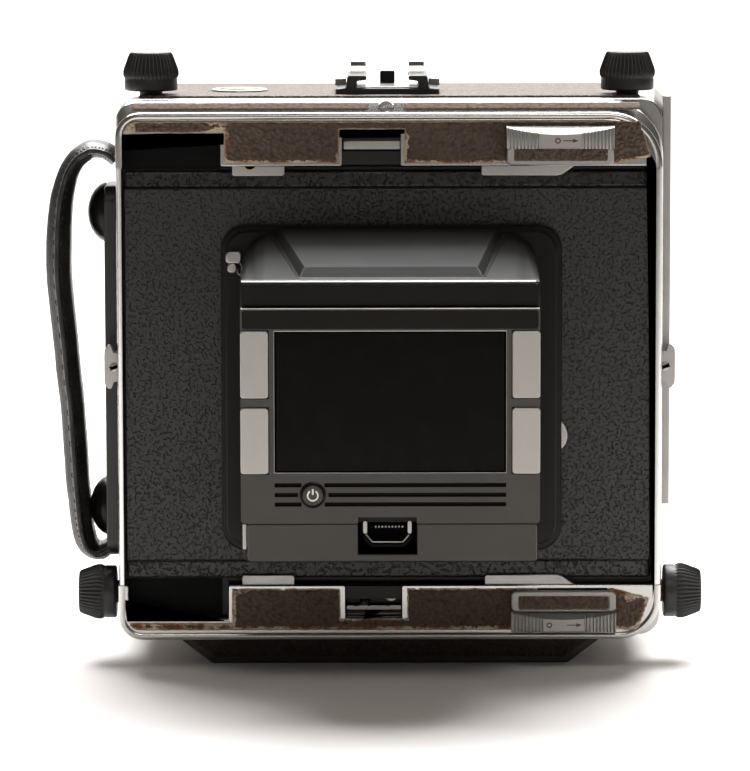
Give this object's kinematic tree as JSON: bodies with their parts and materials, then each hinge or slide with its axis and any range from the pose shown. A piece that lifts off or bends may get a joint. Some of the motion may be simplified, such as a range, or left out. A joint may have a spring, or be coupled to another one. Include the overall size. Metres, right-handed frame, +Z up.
{
  "type": "large format view camera",
  "caption": "Folding metal technical camera on an open bed, leather covered, with pleated bellows, lens, turning back and a digital back on an adapter board.",
  "frame": {"origin": "mouth of the tripod bush in the bottom face of the foot, under the middle of the body", "axes": "+X to the right seen from behind, +Y forward along the lens axis, +Z up"},
  "size_m": [0.1968, 0.2746, 0.1818],
  "materials": {
    "body_paint": "black enamel on the cast housing",
    "leather": "grained brown-grey covering",
    "chrome": "worn satin chrome",
    "steel": "brushed",
    "alloy": "satin anodised",
    "knob_black": "black with fine ribs",
    "strap_leather": "padded black leather",
    "board_black": "black wrinkle finish",
    "mount_black": "black anodised",
    "charcoal": "matt charcoal",
    "display": "dark gloss",
    "keys": "light silver",
    "lens_black": "black anodised",
    "optical_glass": "coated",
    "bellows_cloth": "pleated black bellows leather"
  },
  "bodies": {
    "body": {"body_housing": "body_paint", "body_leather": "leather", "tripod_base": "body_paint", "tripod_bush": "steel", "accessory_shoe": "body_paint", "shoe_spring": "steel", "strap_plate": "body_paint", "hand_strap": "strap_leather", "side_rail": "alloy", "bed_pin": "steel"},
    "release_button": {"release_button": "leather"},
    "knob_top_left": {"knob_top_left": "knob_black"},
    "knob_top_right": {"knob_top_right": "knob_black"},
    "knob_side_left": {"knob_side_left": "knob_black"},
    "knob_side_right": {"knob_side_right": "knob_black"},
    "lower_rods": {"lower_rods": "steel", "bellows_extension": "bellows_cloth"},
    "upper_rods": {"upper_rods": "steel"},
    "rear_frame": {"rear_frame": "chrome", "strap_lugs": "chrome", "bellows_back_tilt": "bellows_cloth"},
    "revolving_back": {"revolving_back": "chrome", "back_leather": "leather", "adapter_board": "board_black", "adapter_mount": "mount_black", "digital_back_housing": "charcoal", "digital_back_cover": "charcoal", "lcd_glass": "display", "battery_block": "charcoal", "connector": "steel"},
    "top_slide_lock": {"top_slide_lock": "chrome"},
    "bottom_slide_lock": {"bottom_slide_lock": "chrome"},
    "release_lever": {"release_lever": "alloy"},
    "button_top_left": {"button_top_left": "keys"},
    "button_top_right": {"button_top_right": "keys"},
    "button_bottom_left": {"button_bottom_left": "keys"},
    "button_bottom_right": {"button_bottom_right": "keys"},
    "power_button": {"power_button": "charcoal"},
    "battery_clip": {"battery_clip": "alloy"},
    "bed": {"bed": "body_paint", "bellows_drop": "bellows_cloth"},
    "bed_struts": {"bed_struts": "chrome"},
    "focus_track": {"focus_track": "chrome", "carriage": "alloy", "bellows_focus": "bellows_cloth"},
    "focus_pinion": {"focus_pinion": "alloy"},
    "swing_base": {"swing_base": "chrome", "bellows_swing": "bellows_cloth"},
    "front_standard": {"front_standard": "chrome", "bellows_shift": "bellows_cloth"},
    "rise_frame": {"rise_frame": "body_paint", "bellows_rise": "bellows_cloth"},
    "tilt_frame": {"tilt_frame": "alloy", "lens_board": "body_paint", "shutter": "lens_black", "lens_barrel": "lens_black", "lens_glass": "optical_glass", "bellows_tilt": "bellows_cloth"},
    "aperture_ring": {"aperture_ring": "lens_black"},
    "shutter_lever": {"shutter_lever": "steel"}
  },
  "joints": [
    {"name": "bed_release", "type": "slide", "parent": "body", "child": "release_button", "axis": [0, 0, -1], "range_m": [0, 0.0015], "stiffness_N_per_m": 400},
    {"name": "knob_top_left_turn", "type": "hinge", "parent": "body", "child": "knob_top_left", "pos_m": [-0.0704, -0.021, 0.175], "axis": [0, 0, 1], "continuous": true},
    {"name": "knob_top_right_turn", "type": "hinge", "parent": "body", "child": "knob_top_right", "pos_m": [0.0704, -0.021, 0.175], "axis": [0, 0, 1], "continuous": true},
    {"name": "knob_side_left_turn", "type": "hinge", "parent": "body", "child": "knob_side_left", "pos_m": [-0.085, -0.021, 0.0205], "axis": [-1, 0, 0], "continuous": true},
    {"name": "knob_side_right_turn", "type": "hinge", "parent": "body", "child": "knob_side_right", "pos_m": [0.085, -0.021, 0.0205], "axis": [1, 0, 0], "continuous": true},
    {"name": "back_extension", "type": "slide", "parent": "body", "child": "lower_rods", "axis": [0, -1, 0], "range_m": [0, 0.025], "deforming": ["bellows_extension"]},
    {"name": "back_tilt", "type": "hinge", "parent": "lower_rods", "child": "rear_frame", "pos_m": [0, -0.0317, 0.0105], "axis": [1, 0, 0], "range_deg": [0, 8], "deforming": ["bellows_back_tilt"]},
    {"name": "upper_rods_slide", "type": "slide", "parent": "lower_rods", "child": "upper_rods", "axis": [0, -1, 0], "range_m": [0, 0.0215]},
    {"name": "back_turn", "type": "hinge", "parent": "rear_frame", "child": "revolving_back", "pos_m": [0, -0.041, 0.088], "axis": [0, 1, 0], "continuous": true},
    {"name": "top_lock_slide", "type": "slide", "parent": "revolving_back", "child": "top_slide_lock", "axis": [1, 0, 0], "range_m": [0, 0.008]},
    {"name": "bottom_lock_slide", "type": "slide", "parent": "revolving_back", "child": "bottom_slide_lock", "axis": [1, 0, 0], "range_m": [0, 0.008]},
    {"name": "release_lever_slide", "type": "slide", "parent": "revolving_back", "child": "release_lever", "axis": [0, 0, 1], "range_m": [0, 0.004]},
    {"name": "key_top_left_press", "type": "slide", "parent": "revolving_back", "child": "button_top_left", "axis": [0, 1, 0], "range_m": [0, 0.0005], "stiffness_N_per_m": 400},
    {"name": "key_top_right_press", "type": "slide", "parent": "revolving_back", "child": "button_top_right", "axis": [0, 1, 0], "range_m": [0, 0.0005], "stiffness_N_per_m": 400},
    {"name": "key_bottom_left_press", "type": "slide", "parent": "revolving_back", "child": "button_bottom_left", "axis": [0, 1, 0], "range_m": [0, 0.0005], "stiffness_N_per_m": 400},
    {"name": "key_bottom_right_press", "type": "slide", "parent": "revolving_back", "child": "button_bottom_right", "axis": [0, 1, 0], "range_m": [0, 0.0005], "stiffness_N_per_m": 400},
    {"name": "power_press", "type": "slide", "parent": "revolving_back", "child": "power_button", "axis": [0, 1, 0], "range_m": [0, 0.0005], "stiffness_N_per_m": 400},
    {"name": "battery_clip_slide", "type": "slide", "parent": "revolving_back", "child": "battery_clip", "axis": [0, 0, -1], "range_m": [0, 0.0015], "stiffness_N_per_m": 400},
    {"name": "bed_drop", "type": "hinge", "parent": "body", "child": "bed", "pos_m": [0, 0.036, 0.008], "axis": [1, 0, 0], "range_deg": [-15, 0], "deforming": ["bellows_drop"]},
    {"name": "strut_turn", "type": "hinge", "parent": "bed", "child": "bed_struts", "pos_m": [0, 0.09, 0.009], "axis": [1, 0, 0], "range_deg": [-0.2, 8.2]},
    {"name": "focus", "type": "slide", "parent": "bed", "child": "focus_track", "axis": [0, 1, 0], "range_m": [-0.01, 0.035], "deforming": ["bellows_focus"]},
    {"name": "pinion_turn", "type": "hinge", "parent": "bed", "child": "focus_pinion", "pos_m": [0, 0.16, 0.0074], "axis": [-1, 0, 0], "range_deg": [-160, 560]},
    {"name": "front_swing", "type": "hinge", "parent": "focus_track", "child": "swing_base", "pos_m": [0, 0.13, 0.022], "axis": [0, 0, 1], "range_deg": [-12, 12], "deforming": ["bellows_swing"]},
    {"name": "front_shift", "type": "slide", "parent": "swing_base", "child": "front_standard", "axis": [1, 0, 0], "range_m": [-0.012, 0.012], "deforming": ["bellows_shift"]},
    {"name": "front_rise", "type": "slide", "parent": "front_standard", "child": "rise_frame", "axis": [0, 0, 1], "range_m": [-0.008, 0.02], "deforming": ["bellows_rise"]},
    {"name": "front_tilt", "type": "hinge", "parent": "rise_frame", "child": "tilt_frame", "pos_m": [0, 0.13, 0.088], "axis": [1, 0, 0], "range_deg": [-8, 8], "deforming": ["bellows_tilt"]},
    {"name": "aperture_turn", "type": "hinge", "parent": "tilt_frame", "child": "aperture_ring", "pos_m": [0, 0.14, 0.088], "axis": [0, 1, 0], "range_deg": [-40, 40]},
    {"name": "shutter_release", "type": "hinge", "parent": "tilt_frame", "child": "shutter_lever", "pos_m": [0.0246, 0.154, 0.095], "axis": [0, 1, 0], "range_deg": [0, 12], "stiffness_Nm_per_rad": 0.02}
  ],
  "couplings": [
    {"joint": "upper_rods_slide", "follows": "back_tilt", "m_per_rad": 0.14902},
    {"joint": "strut_turn", "follows": "bed_drop", "ratio": -0.51},
    {"joint": "pinion_turn", "follows": "focus", "rad_per_m": 277.78}
  ]
}
